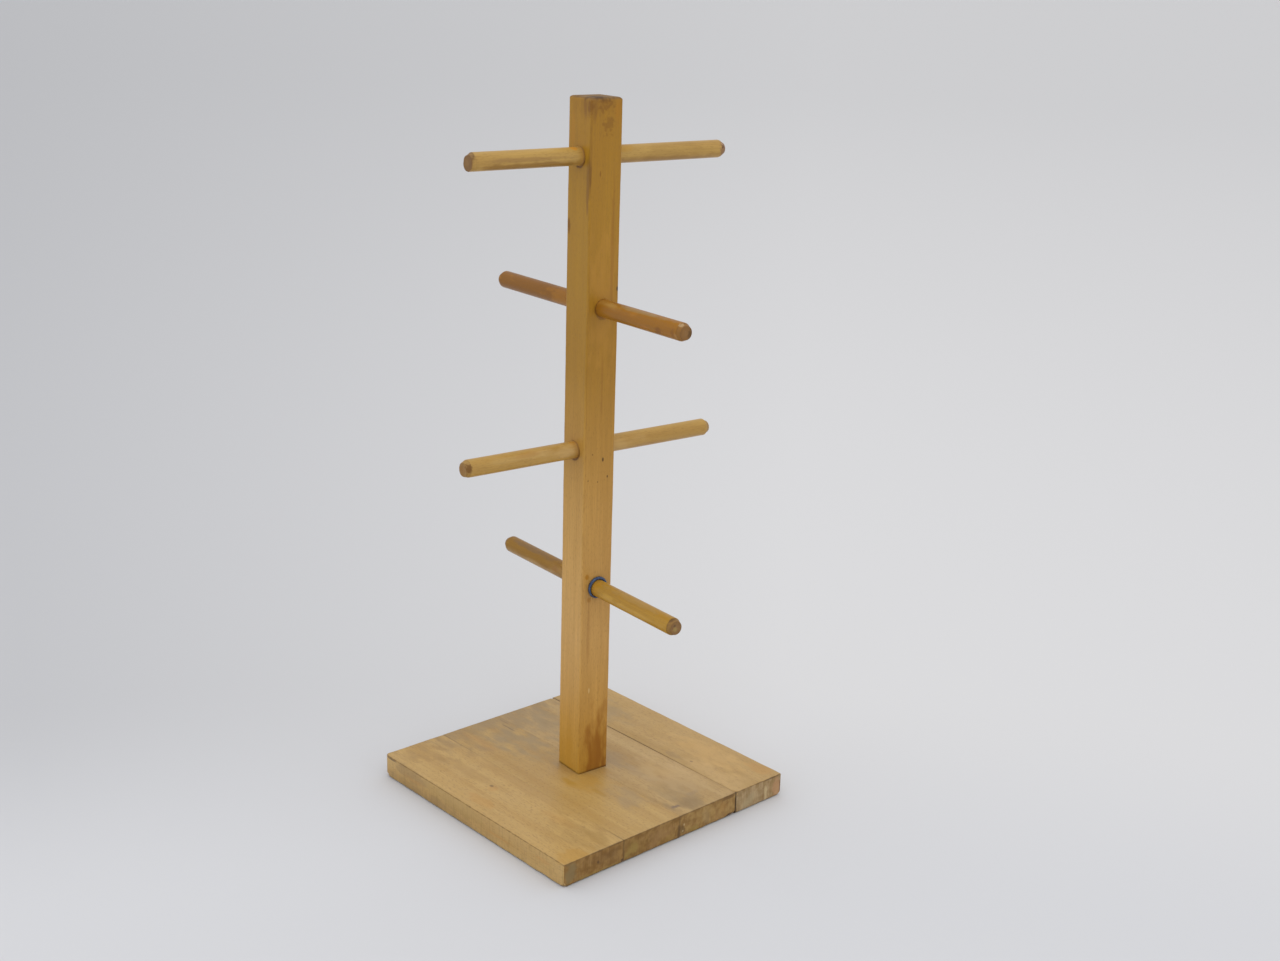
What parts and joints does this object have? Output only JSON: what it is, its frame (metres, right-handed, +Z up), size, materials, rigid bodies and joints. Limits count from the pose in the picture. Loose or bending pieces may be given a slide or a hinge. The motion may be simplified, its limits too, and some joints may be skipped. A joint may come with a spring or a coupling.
{
  "type": "mug stand",
  "caption": "Wooden countertop mug stand: square glued-board base, square upright post, and round through-dowel arms crossing at right angles that mugs hang on by their handles.",
  "frame": {"origin": "middle of the base's underside, where the stand rests, on the post's axis", "axes": "+Z up along the post, +X across the base boards, +Y along the boards' grain; the post and arms are turned 5 degrees clockwise about Z, seen from above, against the base"},
  "size_m": [0.1739, 0.1757, 0.409],
  "materials": {
    "base_wood": "worn yellowed varnish on pale hardwood",
    "post_wood": "yellowed varnish on pale hardwood",
    "arm_wood": "yellowed varnish on hardwood dowel, dirty bare ends",
    "ring_rubber": "dark blue elastic, satin",
    "screw_steel": "plain steel, slightly dulled"
  },
  "bodies": {
    "root": {"base_board_1": "base_wood", "base_board_2": "base_wood", "base_board_3": "base_wood", "base_board_4": "base_wood", "post": "post_wood", "arm_1": "arm_wood", "arm_2": "arm_wood", "arm_3": "arm_wood", "arm_4": "arm_wood", "arm_ring": "ring_rubber", "post_screw": "screw_steel"}
  },
  "joints": []
}
